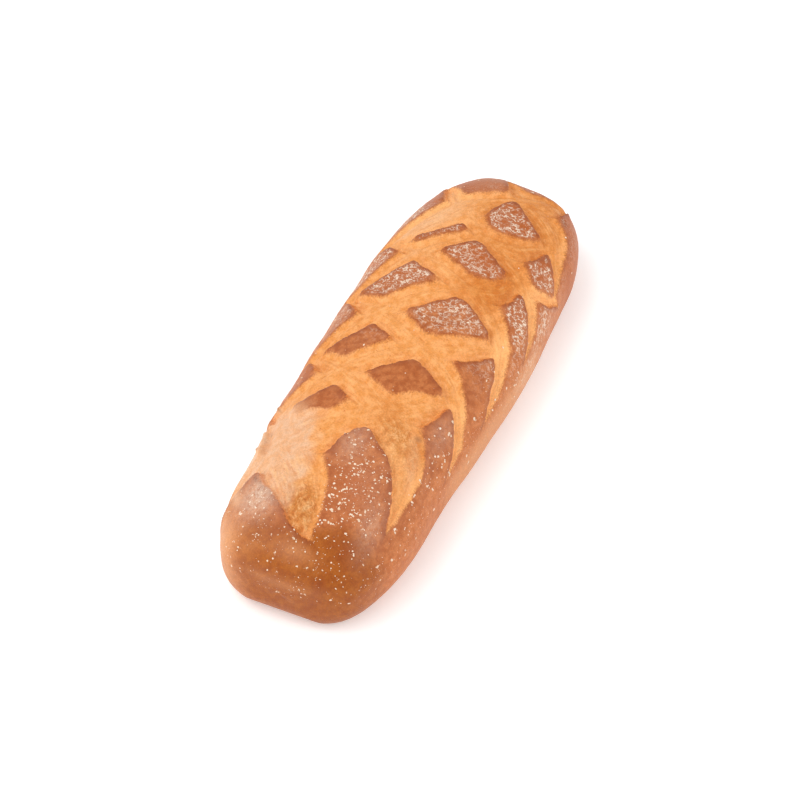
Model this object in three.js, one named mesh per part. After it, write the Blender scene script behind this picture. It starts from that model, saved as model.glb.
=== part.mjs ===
// A sourdough polka loaf: one long white-flour loaf, its top slashed both ways so that it opened
// in the oven into rows of raised crust plates with split grooves between them.
//
// Millimetres, +Z up. The loaf lies along X with its blunt end at -X, and rests on z = 0.
// A place on the crust is named by x and by g, the distance across from the crest, plus to +Y.

import * as THREE from 'three';

// The bare form: the skin of the dough, as if it had not been slashed.
const LENGTH = 460;
const WIDTH = 155;
const HEIGHT = 84;
const WIDEST_AT = 0.38; // height of the widest line, as a share of HEIGHT
const BACK_SWELL = 0.07; // how much wider the back end is than the middle
const FRONT_ROUND = 4.5; // superellipse exponents of the two ends,
const BACK_ROUND = 3.3;
const UPPER_SECTION = 2.2; // and of the section, above and below the widest line
const LOWER_SECTION = 3.0;
const FRONT_FALL = 0.06; // how much the top line has sunk at each end
const BACK_FALL = 0.11;
const BASE_WIDTH = 0.7; // the flat base, as a share of the width
const BASE_LENGTH = 0.76; // where the underside starts to turn up, as a share of the length

// Hollows and swells left by shaping: x, side (+1 is +Y), how far out, and the reach along x.
const SIDE_WAVES = [
  { x: -165, side: -1, rise: 1.2, reach: 28 },
  { x: -92, side: -1, rise: -3.2, reach: 34 },
  { x: 28, side: -1, rise: 2, reach: 40 },
  { x: 112, side: -1, rise: -2.4, reach: 32 },
  { x: -132, side: 1, rise: -3, reach: 30 },
];
const SIDE_WAVES_FROM = 0.45; // they start this share of the way from the crest to a side

// The slashes. Each one is drawn through places given as [x, g, how far it has opened to each side
// of its middle line there]. The first family runs from the right side to the left, the second
// from the left side to the right. `blade` is the side where the blade lifted the crust: +1 is to
// the right of its run.
const SLASH_FAMILIES = [
  {
    blade: -1,
    slashes: [
      [[-205, -14, 3], [-199, -8, 8.5], [-187, -0.5, 14.3], [-174, 7, 19.3], [-163, 15, 23],
        [-151, 27, 24.5], [-129, 49, 18], [-106, 64, 14], [-90, 84, 5]],
      [[-174, -63, 0], [-146, -60, 7.5], [-125, -55, 12.3], [-108, -47, 16], [-93, -32.5, 19],
        [-74, -6, 15], [-55, 28, 13], [-40, 55, 10], [-32, 80, 0]],
      [[-94, -90, 0], [-67, -79, 6], [-54, -70.5, 6.7], [-40, -61, 8.5], [-22, -40, 12],
        [-4, -8, 13], [12, 22, 13], [28, 52, 10], [40, 82, 0]],
      [[-32, -91, 0], [-10, -84, 5], [14, -76, 7], [34, -65, 9.5], [52, -46, 12], [68, -20, 12],
        [82, 10, 12], [97, 42, 10], [110, 76, 0]],
      [[42, -91, 0], [64, -84, 5], [82, -74, 7], [97, -58, 8.7], [110, -40, 11], [121, -20, 8.5],
        [134, -4, 9], [152, 16, 11], [170, 34, 9], [186, 46, 8], [202, 60, 0]],
      [[114, -88, 0], [130, -79, 5], [146, -68, 8.5], [165, -55, 14.5], [180, -38, 15],
        [193, -18, 10.5], [208, -2, 7.5], [222, 14, 0]],
    ],
  },
  {
    blade: 1,
    slashes: [
      [[-205, 84, 0], [-178, 73, 11], [-150, 56, 13], [-117, 27, 26.5], [-103, 13, 16.5],
        [-90, 2, 16], [-70, -28, 17], [-60, -38, 15.5], [-48, -48, 8], [-36, -58, 0]],
      [[-112, 90, 0], [-99, 74, 9], [-66, 47, 14], [-34, 20, 14], [-8, -12, 13], [8, -40, 13],
        [24, -59, 8], [38, -76, 0]],
      [[-60, 86, 0], [-24, 66, 9], [12, 40, 13], [44, 12, 13], [64, -14, 11], [76, -39, 14],
        [93, -50, 8], [99, -64, 6], [107, -79, 6], [120, -94, 2]],
      [[14, 90, 0], [50, 66, 8], [86, 42, 12], [112, 18, 10], [129, -5, 7.5], [131, -36, 14.5],
        [150, -52, 6], [166, -66, 0]],
      [[86, 88, 0], [112, 66, 12], [139, 40, 20], [166, 19, 20], [188, -2, 9], [203, -32, 17],
        [222, -47, 0]],
    ],
  },
];
const SLASH_STEPS = 12; // steps of the middle line between two given places
const CORNER_ROUND = 7; // how near two crossing slashes round off the corner of a plate
const GROOVE_DEPTH = 3.8; // crust plate down to the foot of its edge
const FLOOR_RISE = 0.6; // how far the middle of a groove has risen again, as a share of that
const FLOOR_REACH = 14; // how far from the edge it has risen so
const SHARP_EDGE = 5; // width of the edge on the side where the blade lifted the crust
const SOFT_EDGE = 9; // and on the other side of a slash
const EDGE_BLEND = 0.8; // share of the opening over which one side turns into the other
const LIP_RISE = 1.2; // the torn lip above its plate
const LIP_REACH = 7;
const LIP_OPENING = 7; // how far a slash has to open for a full lip

// Swells of the top: the torn flap in the second slash, and the high plate at the back end.
const TOP_SWELLS = [
  { x: -106, g: -57, rise: 2.4, along: 26, across: 8, turn: 0.5 },
  { x: 204, g: 19, rise: 3, along: 17, across: 20, turn: 0 },
];

// How finely the crust is divided.
const STATIONS = 99; // rings along the loaf, without the two end points
const UPPER_COLUMNS = 44; // across the top, from widest line to widest line
const LOWER_COLUMNS = 3; // down each side to the base
const EDGE_PULL = 1.9; // corners this close to the edge of a groove are drawn to it,
const EDGE_PULL_SHARE = 0.85; // by this share of the way,
const EDGE_PULL_END = 212; // but not past this x
const THINNEST_FACE = 3; // square mm

const WIDEST_HEIGHT = HEIGHT * WIDEST_AT;
const LAST_LOWER_ANGLE = Math.acos(BASE_WIDTH ** (LOWER_SECTION / 2));

const clamp01 = (value) => Math.min(1, Math.max(0, value));

function smoothStep(from, to, value) {
  const share = clamp01((value - from) / (to - from));
  return share * share * (3 - 2 * share);
}

function bell(value) {
  return Math.exp(-value * value);
}

// 1 at the middle of a superellipse and 0 at its end.
function roundEnd(share, exponent) {
  return Math.max(0, 1 - Math.abs(share) ** exponent) ** (1 / exponent);
}

// The bare section at `share` of the half length, -1 to 1.
function sectionAt(share) {
  const exponent = share < 0 ? FRONT_ROUND : BACK_ROUND;
  const fall = share < 0 ? FRONT_FALL : BACK_FALL;
  const size = roundEnd(share, exponent);
  const turn = clamp01((Math.abs(share) - BASE_LENGTH) / (1 - BASE_LENGTH));
  return {
    x: share * LENGTH / 2,
    halfWidth: WIDTH / 2 * size * (1 + BACK_SWELL * share),
    rise: (HEIGHT - WIDEST_HEIGHT) * size * (1 - fall * Math.abs(share) ** 3),
    drop: WIDEST_HEIGHT * roundEnd(turn, exponent),
  };
}

// A point over the widest line: angle 0 is at +Y, a right angle is the crest.
function upperPoint(section, angle) {
  const across = Math.cos(angle);
  const y = section.halfWidth * Math.sign(across) * Math.abs(across) ** (2 / UPPER_SECTION);
  const z = section.rise * Math.sin(angle) ** (2 / UPPER_SECTION);
  return new THREE.Vector3(section.x, y, WIDEST_HEIGHT + z);
}

// A point under the widest line: share 0 is the widest line, 1 the rim of the base.
function lowerPoint(section, share, side) {
  const angle = share * LAST_LOWER_ANGLE;
  const y = section.halfWidth * Math.cos(angle) ** (2 / LOWER_SECTION);
  const fall = (Math.sin(angle) / Math.sin(LAST_LOWER_ANGLE)) ** (2 / LOWER_SECTION);
  const z = WIDEST_HEIGHT - section.drop * fall;
  return new THREE.Vector3(section.x, side * y, z);
}

// Distances along the upper section from its crest to its widest line, at even steps of angle.
function measureAcross(section) {
  const steps = 160;
  const lengths = [0];
  let last = upperPoint(section, Math.PI / 2);
  for (let step = 1; step <= steps; step += 1) {
    const next = upperPoint(section, Math.PI / 2 * (1 - step / steps));
    lengths.push(lengths[step - 1] + next.distanceTo(last));
    last = next;
  }
  return lengths;
}

// The point of the bare top at x and g.
function bareTop(x, g) {
  const section = sectionAt(2 * x / LENGTH);
  const lengths = measureAcross(section);
  const steps = lengths.length - 1;
  const distance = Math.abs(g);
  let step = 0;
  while (step < steps - 1 && lengths[step + 1] < distance) {
    step += 1;
  }
  const within = clamp01((distance - lengths[step]) / (lengths[step + 1] - lengths[step]));
  const angle = Math.PI / 2 * (1 - (step + within) / steps);
  return upperPoint(section, g < 0 ? Math.PI - angle : angle);
}

// The point at `share` of the way from `from` to `to`, on the smooth line through them that comes
// from `before` and goes on to `after`.
function smoothBetween(before, from, to, after, share) {
  return from.map((value, axis) => {
    const slope = (to[axis] - before[axis]) * share;
    const bend = (2 * before[axis] - 5 * value + 4 * to[axis] - after[axis]) * share ** 2;
    const turn = (3 * value - before[axis] - 3 * to[axis] + after[axis]) * share ** 3;
    return value + (slope + bend + turn) / 2;
  });
}

// The middle line of a slash, as places with the way it runs and how far it has opened there.
function traceSlash(places) {
  const points = [];
  for (let span = 0; span + 1 < places.length; span += 1) {
    const before = places[Math.max(0, span - 1)];
    const after = places[Math.min(places.length - 1, span + 2)];
    for (let step = 0; step < SLASH_STEPS; step += 1) {
      const share = step / SLASH_STEPS;
      points.push(smoothBetween(before, places[span], places[span + 1], after, share));
    }
  }
  points.push(places.at(-1));
  return points.map(([x, g, opening], index) => {
    const ahead = points[Math.min(points.length - 1, index + 1)];
    const behind = points[Math.max(0, index - 1)];
    const heading = new THREE.Vector2(ahead[0] - behind[0], ahead[1] - behind[1]).normalize();
    return { x, g, heading, opening: Math.max(0, opening) };
  });
}

const tracedFamilies = SLASH_FAMILIES.map(({ blade, slashes }) => (
  slashes.map((places) => ({ blade, line: traceSlash(places) }))
));

// How far inside one slash a place lies (plus is inside), how much it is on the sharp side, and
// how strong the lip is there.
function measureSlash({ blade, line }, x, g) {
  let nearest = line[0];
  let nearestDistance = Infinity;
  for (const candidate of line) {
    const distance = Math.hypot(x - candidate.x, g - candidate.g);
    if (distance < nearestDistance) {
      nearest = candidate;
      nearestDistance = distance;
    }
  }
  const { heading, opening } = nearest;
  const toTheRight = (x - nearest.x) * heading.y - (g - nearest.g) * heading.x;
  const offset = blade * toTheRight / (opening + 1);
  const bladeShare = smoothStep(-EDGE_BLEND, EDGE_BLEND, offset);
  const lip = bladeShare * smoothStep(0, LIP_OPENING, opening);
  return { inside: opening - nearestDistance, bladeShare, lip };
}

// The same for the slashes together. Where two of them cross, the corner of the plate is rounded.
function measureSlashes(x, g) {
  const [first, second] = tracedFamilies.map((family) => (
    family.map((slash) => measureSlash(slash, x, g)).reduce((a, b) => (a.inside > b.inside ? a : b))
  ));
  const lead = first.inside - second.inside;
  const nearness = clamp01(1 - Math.abs(lead) / CORNER_ROUND);
  const share = smoothStep(-CORNER_ROUND / 2, CORNER_ROUND / 2, lead);
  return {
    inside: Math.max(first.inside, second.inside) + CORNER_ROUND / 4 * nearness ** 2,
    bladeShare: THREE.MathUtils.lerp(second.bladeShare, first.bladeShare, share),
    lip: THREE.MathUtils.lerp(second.lip, first.lip, share),
  };
}

// Height of the crust over the bare form at one place of the top.
function reliefAt(x, g) {
  const { inside, bladeShare, lip } = measureSlashes(x, g);
  const opened = smoothStep(0, THREE.MathUtils.lerp(SOFT_EDGE, SHARP_EDGE, bladeShare), inside);
  const floor = 1 - FLOOR_RISE * smoothStep(0, FLOOR_REACH, inside);
  let relief = LIP_RISE * lip * bell(Math.min(0, inside) / LIP_REACH) * (1 - opened);
  relief -= GROOVE_DEPTH * opened * floor;
  for (const swell of TOP_SWELLS) {
    const cos = Math.cos(swell.turn);
    const sin = Math.sin(swell.turn);
    const along = (x - swell.x) * cos + (g - swell.g) * sin;
    const across = (g - swell.g) * cos - (x - swell.x) * sin;
    relief += swell.rise * bell(along / swell.along) * bell(across / swell.across);
  }
  return relief;
}

// How far inside the opened slashes a place of the top lies, minus on the crust plates.
function insideAt(x, g) {
  return measureSlashes(x, g).inside;
}

// A place of the top, moved onto the edge of a groove when that is near.
function drawnToEdge(x, g) {
  const inside = insideAt(x, g);
  if (Math.abs(inside) > EDGE_PULL || Math.abs(x) > EDGE_PULL_END) {
    return { x, g };
  }
  const half = 0.5;
  const slopeX = insideAt(x + half, g) - insideAt(x - half, g);
  const slopeG = insideAt(x, g + half) - insideAt(x, g - half);
  const move = -EDGE_PULL_SHARE * inside;
  return { x: x + move * slopeX, g: g + move * slopeG };
}

// Hollows and swells of the sides, for a point that is `sideShare` of the way out to a side.
function sideWaveAt(x, side, sideShare) {
  let wave = 0;
  for (const { x: middle, side: where, rise, reach } of SIDE_WAVES) {
    wave += where === side ? rise * bell((x - middle) / reach) : 0;
  }
  return wave * smoothStep(SIDE_WAVES_FROM, 1, sideShare);
}

// The stations along the loaf, evenly spaced along its outline seen from above.
function stationShares() {
  const steps = 4000;
  const lengths = [0];
  const shares = [-1];
  let last = sectionAt(-1);
  for (let step = 1; step <= steps; step += 1) {
    const share = -Math.cos(Math.PI * step / steps);
    const next = sectionAt(share);
    lengths.push(lengths[step - 1] + Math.hypot(next.x - last.x, next.halfWidth - last.halfWidth));
    shares.push(share);
    last = next;
  }
  const picked = [];
  let step = 0;
  for (let station = 1; station <= STATIONS; station += 1) {
    const wanted = lengths[steps] * station / (STATIONS + 1);
    while (lengths[step] < wanted) {
      step += 1;
    }
    picked.push(shares[step]);
  }
  return picked;
}

// One ring of the bare form: over the top from -Y to +Y, then down the side and under the base.
function ringAt(share) {
  const section = sectionAt(share);
  const reach = measureAcross(section).at(-1);
  const ring = [];
  for (let column = 0; column <= UPPER_COLUMNS; column += 1) {
    const fromCrest = 2 * column / UPPER_COLUMNS - 1;
    const onWidestLine = Math.abs(fromCrest) === 1;
    const even = { x: section.x, g: fromCrest * reach };
    const { x, g } = onWidestLine ? even : drawnToEdge(even.x, even.g);
    const side = fromCrest < 0 ? -1 : 1;
    ring.push({ point: bareTop(x, g), side, sideShare: Math.abs(fromCrest), g, strength: 1 });
  }
  for (const side of [1, -1]) {
    for (let row = 1; row <= LOWER_COLUMNS; row += 1) {
      const share = side > 0 ? row / LOWER_COLUMNS : 1 - (row - 1) / LOWER_COLUMNS;
      const point = lowerPoint(section, share, side);
      ring.push({ point, side, sideShare: 1, g: side * reach, strength: 1 - share });
    }
  }
  return ring;
}

function outwardNormal(rings, station, column) {
  const columns = rings[0].length;
  const ahead = rings[Math.min(station + 1, rings.length - 1)][column].point;
  const behind = rings[Math.max(station - 1, 0)][column].point;
  const left = rings[station][(column + 1) % columns].point;
  const right = rings[station][(column + columns - 1) % columns].point;
  return ahead.clone().sub(behind).cross(left.clone().sub(right)).normalize();
}

function crustHeight(place) {
  const relief = reliefAt(place.point.x, place.g);
  return place.strength * (relief + sideWaveAt(place.point.x, place.side, place.sideShare));
}

function crustGeometry() {
  const rings = stationShares().map(ringAt);
  const columns = rings[0].length;
  const points = rings.map((ring, station) => ring.map((place, column) => (
    place.point.clone().addScaledVector(outwardNormal(rings, station, column), crustHeight(place))
  )));
  const endPoint = (share) => new THREE.Vector3(share * LENGTH / 2, 0, WIDEST_HEIGHT);
  const positions = [...points.flat(), endPoint(-1), endPoint(1)];
  const frontPoint = STATIONS * columns;
  const backPoint = frontPoint + 1;
  const faces = [];
  for (let column = 0; column < columns; column += 1) {
    const next = (column + 1) % columns;
    faces.push(frontPoint, column, next);
    faces.push(backPoint, (STATIONS - 1) * columns + next, (STATIONS - 1) * columns + column);
    for (let station = 0; station + 1 < STATIONS; station += 1) {
      const near = station * columns + column;
      const nearLeft = station * columns + next;
      const far = near + columns;
      const farLeft = nearLeft + columns;
      const onTop = column < UPPER_COLUMNS;
      if (onTop && foldsBetween(rings, station, column)) {
        faces.push(near, far, nearLeft, far, farLeft, nearLeft);
      } else {
        faces.push(near, far, farLeft, near, farLeft, nearLeft);
      }
    }
  }
  const geometry = new THREE.BufferGeometry();
  geometry.setFromPoints(positions);
  geometry.setIndex(faces);
  return geometry;
}

// Twice the area of a face of the top, measured in x and g.
function flatArea(a, b, c) {
  return (b.point.x - a.point.x) * (c.g - a.g) - (b.g - a.g) * (c.point.x - a.point.x);
}

// Whether a patch of the top is closer to the relief when it folds from far right to near left.
function foldsBetween(rings, station, column) {
  const near = rings[station][column];
  const nearLeft = rings[station][column + 1];
  const far = rings[station + 1][column];
  const farLeft = rings[station + 1][column + 1];
  const thinnestStraight = Math.min(flatArea(near, far, farLeft), flatArea(near, farLeft, nearLeft));
  const thinnestCrossed = Math.min(flatArea(near, far, nearLeft), flatArea(far, farLeft, nearLeft));
  if (Math.min(thinnestStraight, thinnestCrossed) < 2 * THINNEST_FACE) {
    return thinnestCrossed > thinnestStraight;
  }
  const middle = reliefAt((near.point.x + farLeft.point.x) / 2, (near.g + farLeft.g) / 2);
  const straight = (crustHeight(near) + crustHeight(farLeft)) / 2;
  const crossed = (crustHeight(far) + crustHeight(nearLeft)) / 2;
  return Math.abs(crossed - middle) < Math.abs(straight - middle);
}

const geometry = crustGeometry();
geometry.computeBoundingBox();
const box = geometry.boundingBox;
geometry.translate(-(box.min.x + box.max.x) / 2, -(box.min.y + box.max.y) / 2, -box.min.z);
geometry.computeVertexNormals();

const crust = new THREE.MeshStandardMaterial({ color: 0xc98450, roughness: 0.62, metalness: 0 });
const loaf = new THREE.Mesh(geometry, crust);
loaf.name = 'loaf';

const part = new THREE.Group();
part.add(loaf);

export default part;
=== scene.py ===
import itertools
import math

import bpy
import numpy as np
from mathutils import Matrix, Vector, noise


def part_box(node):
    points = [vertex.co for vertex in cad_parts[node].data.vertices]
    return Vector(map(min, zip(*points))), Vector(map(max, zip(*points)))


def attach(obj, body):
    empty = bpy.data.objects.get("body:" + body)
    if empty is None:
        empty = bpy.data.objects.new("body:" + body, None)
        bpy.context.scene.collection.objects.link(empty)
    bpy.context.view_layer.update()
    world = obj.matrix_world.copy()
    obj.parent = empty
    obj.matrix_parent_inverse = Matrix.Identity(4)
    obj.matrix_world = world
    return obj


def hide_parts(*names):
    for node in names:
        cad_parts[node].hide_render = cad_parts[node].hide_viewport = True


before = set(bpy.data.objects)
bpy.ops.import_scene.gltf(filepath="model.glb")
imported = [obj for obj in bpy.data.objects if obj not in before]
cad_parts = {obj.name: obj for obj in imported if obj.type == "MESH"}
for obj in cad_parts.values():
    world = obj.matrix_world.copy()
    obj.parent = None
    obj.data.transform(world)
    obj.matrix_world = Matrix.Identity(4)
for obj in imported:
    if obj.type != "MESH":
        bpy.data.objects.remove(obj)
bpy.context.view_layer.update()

# --------------------------------------------------------------------------
# The body of the loaf. It is a log of white sourdough, rolled a little thicker towards one end,
# proved, and baked straight on the floor of the oven, which leaves the base flat. Its shape is
# worked out in millimetres, first as the bare skin of the dough, before any slash has opened.
# --------------------------------------------------------------------------
MM = 0.001
LENGTH = 460
WIDTH = 155
HEIGHT = 84
WIDEST_HEIGHT = 0.38 * HEIGHT
BACK_SWELL = 0.07
FRONT_ROUND = 4.5
BACK_ROUND = 3.3
UPPER_SECTION = 2.2
LOWER_SECTION = 3.0
FRONT_FALL = 0.06
BACK_FALL = 0.11
BASE_WIDTH = 0.7
BASE_LENGTH = 0.76

STATIONS = 440
TOP_COLUMNS = 184
SIDE_COLUMNS = 10
BASE_COLUMNS = 4
OUTLINE_STEPS = 20001
ARC_STEPS = 400


def smooth_step(low, high, value):
    share = np.clip((value - low) / (high - low), 0, 1)
    return share * share * (3 - 2 * share)


def bell(value):
    return np.exp(-value * value)


def round_end(share, exponent):
    return np.clip(1 - np.abs(share) ** exponent, 0, 1) ** (1 / exponent)


def body_sections(share):
    """Half width, rise over the widest line and drop under it, from -1 (front) to 1 (back)."""
    exponent = np.where(share < 0, FRONT_ROUND, BACK_ROUND)
    fall = np.where(share < 0, FRONT_FALL, BACK_FALL)
    size = round_end(share, exponent)
    half_width = WIDTH / 2 * size * (1 + BACK_SWELL * share)
    rise = (HEIGHT - WIDEST_HEIGHT) * size * (1 - fall * np.abs(share) ** 3)
    turn = np.clip((np.abs(share) - BASE_LENGTH) / (1 - BASE_LENGTH), 0, 1)
    return half_width, rise, WIDEST_HEIGHT * round_end(turn, exponent)


def even_stations():
    """Shares of the half length that lie evenly along the outline seen from above."""
    fine = -np.cos(np.linspace(0, math.pi, OUTLINE_STEPS))
    steps = np.hypot(np.diff(fine) * LENGTH / 2, np.diff(body_sections(fine)[0]))
    lengths = np.concatenate([[0], np.cumsum(steps)])
    return np.interp(np.linspace(0, lengths[-1], STATIONS + 2)[1:-1], lengths, fine)


def bare_top(half_width, rise):
    """Y, Z and distance from the crest, evenly spaced across the top of one station."""
    angle = np.linspace(0, math.pi / 2, ARC_STEPS)
    out = half_width * np.sin(angle) ** (2 / UPPER_SECTION)
    up = rise * np.cos(angle) ** (2 / UPPER_SECTION)
    lengths = np.concatenate([[0], np.cumsum(np.hypot(np.diff(out), np.diff(up)))])
    distance = np.linspace(-1, 1, TOP_COLUMNS + 1) * lengths[-1]
    picked = np.interp(np.abs(distance), lengths, angle)
    out = half_width * np.sin(picked) ** (2 / UPPER_SECTION)
    up = rise * np.clip(np.cos(picked), 0, 1) ** (2 / UPPER_SECTION)
    return np.sign(distance) * out, WIDEST_HEIGHT + up, distance


shares = even_stations()
half_widths, rises, drops = body_sections(shares)
top = [bare_top(half_width, rise) for half_width, rise in zip(half_widths, rises)]
top_y, top_z, top_g = (np.array(values) for values in zip(*top))
top_x = np.repeat((shares * LENGTH / 2)[:, None], TOP_COLUMNS + 1, axis=1)

last_angle = math.acos(BASE_WIDTH ** (LOWER_SECTION / 2))
down = np.linspace(0, 1, SIDE_COLUMNS + 1)[1:]
side_out = np.cos(down * last_angle) ** (2 / LOWER_SECTION)
side_fall = (np.sin(down * last_angle) / math.sin(last_angle)) ** (2 / LOWER_SECTION)
side_y = half_widths[:, None] * side_out
side_z = WIDEST_HEIGHT - drops[:, None] * side_fall
base_y = half_widths[:, None] * BASE_WIDTH * np.linspace(1, -1, BASE_COLUMNS + 1)[1:-1]
base_z = np.repeat((WIDEST_HEIGHT - drops)[:, None], BASE_COLUMNS - 1, axis=1)

# --------------------------------------------------------------------------
# The slashes. The baker drew a blade over the proved dough both ways. Each cut sprang open in the
# oven, leaving raised plates of skin between grooves of torn dough. The skin lifted and curled on
# the side where the blade went in flat. A place on the top is x, and g across from the crest.
# --------------------------------------------------------------------------
# Each slash is drawn through places: x, g, and how far it opened to each side there.
TO_THE_LEFT = [
    [(-205, -14, 3), (-199, -8, 8.5), (-187, -0.5, 14.3), (-174, 7, 19.3), (-163, 15, 23),
     (-151, 27, 24.5), (-129, 49, 18), (-106, 64, 14), (-90, 84, 5)],
    [(-174, -63, 0), (-146, -60, 7.5), (-125, -55, 12.3), (-108, -47, 16), (-93, -32.5, 19),
     (-74, -6, 15), (-55, 28, 13), (-40, 55, 10), (-32, 80, 0)],
    [(-94, -90, 0), (-67, -79, 6), (-54, -70.5, 6.7), (-40, -61, 8.5), (-22, -40, 12), (-4, -8, 13),
     (12, 22, 13), (28, 52, 10), (40, 82, 0)],
    [(-32, -91, 0), (-10, -84, 5), (14, -76, 7), (34, -65, 9.5), (52, -46, 12), (68, -20, 12),
     (82, 10, 12), (97, 42, 10), (110, 76, 0)],
    [(42, -91, 0), (64, -84, 5), (82, -74, 7), (97, -58, 8.7), (110, -40, 11), (121, -20, 8.5),
     (134, -4, 9), (152, 16, 11), (170, 34, 9), (186, 46, 8), (202, 60, 0)],
    [(114, -88, 0), (130, -79, 5), (146, -68, 8.5), (165, -55, 14.5), (180, -38, 15),
     (193, -18, 10.5), (208, -2, 7.5), (222, 14, 0)],
]
TO_THE_RIGHT = [
    [(-205, 84, 0), (-178, 73, 11), (-150, 56, 13), (-117, 27, 26.5), (-103, 13, 16.5),
     (-90, 2, 16), (-70, -28, 17), (-60, -38, 15.5), (-48, -48, 8), (-36, -58, 0)],
    [(-112, 90, 0), (-99, 74, 9), (-66, 47, 14), (-34, 20, 14), (-8, -12, 13), (8, -40, 13),
     (24, -59, 8), (38, -76, 0)],
    [(-60, 86, 0), (-24, 66, 9), (12, 40, 13), (44, 12, 13), (64, -14, 11), (76, -39, 14),
     (93, -50, 8), (99, -64, 6), (107, -79, 6), (120, -94, 2)],
    [(14, 90, 0), (50, 66, 8), (86, 42, 12), (112, 18, 10), (129, -5, 7.5), (131, -36, 14.5),
     (150, -52, 6), (166, -66, 0)],
    [(86, 88, 0), (112, 66, 12), (139, 40, 20), (166, 19, 20), (188, -2, 9), (203, -32, 17),
     (222, -47, 0)],
]
SLASH_STEPS = 12
SHARP_TURN = 0.8
CORNER_ROUND = 7
CORNER_CURL = 0.6
GROOVE_DEPTH = 4.6
FLOOR_RISE = 0.6
FLOOR_REACH = 14
SHARP_EDGE = 3.2
SOFT_EDGE = 9
LIP_RISE = 1.4
LIP_REACH = 6
LIP_OPENING = 7
# The edge of a groove is ragged, and less so further out on a plate, from -4 mm to -20 mm.
RAGGED_FROM = (-20, -4)
FAR_OUTSIDE = -99.0
NEXT_SLASH_RUN = 300
NOISE_GAIN = 1.6
SEED_SHIFT = (17.3, 9.1)


def crust_noise(x, y, seed):
    """Smooth seeded noise, about -1 to 1, that changes over about one unit."""
    places = zip(np.ravel(x) + SEED_SHIFT[0] * seed, np.ravel(y) - SEED_SHIFT[1] * seed)
    values = [noise.noise(Vector((a, b, 0))) for a, b in places]
    return np.array(values).reshape(np.shape(x)) * NOISE_GAIN


def top_noise(lump, seed):
    """Noise over the top of the loaf, in lumps about `lump` millimetres wide."""
    return crust_noise(top_x / lump, top_g / lump, seed)


def trace_slash(places):
    """The smooth middle line through the places, with its headings and how long it has run."""
    given = np.array([places[0], *places, places[-1]], dtype=float)
    share = (np.arange(SLASH_STEPS) / SLASH_STEPS)[:, None]
    spans = []
    for before, start, stop, after in zip(given, given[1:], given[2:], given[3:]):
        slope = (stop - before) * share
        bend = (2 * before - 5 * start + 4 * stop - after) * share**2
        turn = (3 * start - before - 3 * stop + after) * share**3
        spans.append(start + (slope + bend + turn) / 2)
    line = np.concatenate([*spans, given[-1:]])
    steps = np.hypot(*np.diff(line[:, :2], axis=0).T)
    run = np.concatenate([[0], np.cumsum(steps)])
    heading = np.gradient(line[:, :2], run, axis=0)
    heading /= np.linalg.norm(heading, axis=1, keepdims=True)
    return line[:, :2], np.maximum(0, line[:, 2]), heading, run


def measure_slash(places, x, g):
    """How far inside the slash each place is, its distances along and across it, and its opening."""
    line, openings, heading, run = trace_slash(places)
    distance = [np.hypot(x - a, g - b).astype(np.float32) for a, b in line]
    near = np.argmin(distance, axis=0)
    from_line = np.stack([x, g], axis=-1) - line[near]
    along = run[near] + np.sum(from_line * heading[near], axis=-1)
    across = from_line[..., 0] * heading[near][..., 1] - from_line[..., 1] * heading[near][..., 0]
    within = np.clip(along, 0, run[-1])
    opening = np.interp(within, run, openings)
    return opening - np.hypot(across, along - within), along, across, opening


families = []
for blade, family in ((-1, TO_THE_LEFT), (1, TO_THE_RIGHT)):
    deepest = np.full(top_x.shape, FAR_OUTSIDE)
    sharpness = np.zeros(top_x.shape)
    lip = np.zeros(top_x.shape)
    fibre_run = np.zeros(top_x.shape)
    fibre_offset = np.zeros(top_x.shape)
    for number, places in enumerate(family):
        inside, along, across, opening = measure_slash(places, top_x, top_g)
        sharp = smooth_step(-SHARP_TURN, SHARP_TURN, blade * across / (opening + 1))
        leads = inside > deepest
        sharpness = np.where(leads, sharp, sharpness)
        lip = np.where(leads, sharp * smooth_step(0, LIP_OPENING, opening), lip)
        fibre_run = np.where(leads, along + NEXT_SLASH_RUN * number, fibre_run)
        fibre_offset = np.where(leads, across, fibre_offset)
        deepest = np.maximum(deepest, inside)
    families.append((deepest, sharpness, lip, fibre_run, fibre_offset))

# Where two slashes cross, the corner of the plate between them is rounded off.
left_inside, left_sharp, left_lip, left_run, left_offset = families[0]
right_inside, right_sharp, right_lip, right_run, right_offset = families[1]
lead = left_inside - right_inside
nearness = np.clip(1 - np.abs(lead) / CORNER_ROUND, 0, 1)
inside = np.maximum(left_inside, right_inside) + CORNER_ROUND / 4 * nearness**2
raggedness = 0.8 * top_noise(lump=9, seed=1) + 0.5 * top_noise(lump=3.5, seed=2)
inside = inside + raggedness * smooth_step(*RAGGED_FROM, inside)
left_share = smooth_step(-CORNER_ROUND / 2, CORNER_ROUND / 2, lead)
sharpness = right_sharp + (left_sharp - right_sharp) * left_share
lip_strength = right_lip + (left_lip - right_lip) * left_share
opened = smooth_step(0, SOFT_EDGE + (SHARP_EDGE - SOFT_EDGE) * sharpness, inside)
rim = bell(np.minimum(0, inside) / LIP_REACH) * (1 - opened)
lip = lip_strength * rim
curled_corner = left_lip * right_lip * nearness * rim

# The floor of a groove is lowest at the foot of its edges, and swells in its middle, where the
# dough under it pushed up.
floor = 1 - FLOOR_RISE * smooth_step(0, FLOOR_REACH, inside)
relief = LIP_RISE * lip + CORNER_CURL * curled_corner - GROOVE_DEPTH * opened * floor

# The torn dough in a groove hangs together in strands that run along the slash. They come in two
# sizes, each with its length and width.
LONG_STRAND = (26, 2.4)
SHORT_STRAND = (11, 1.5)


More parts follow.
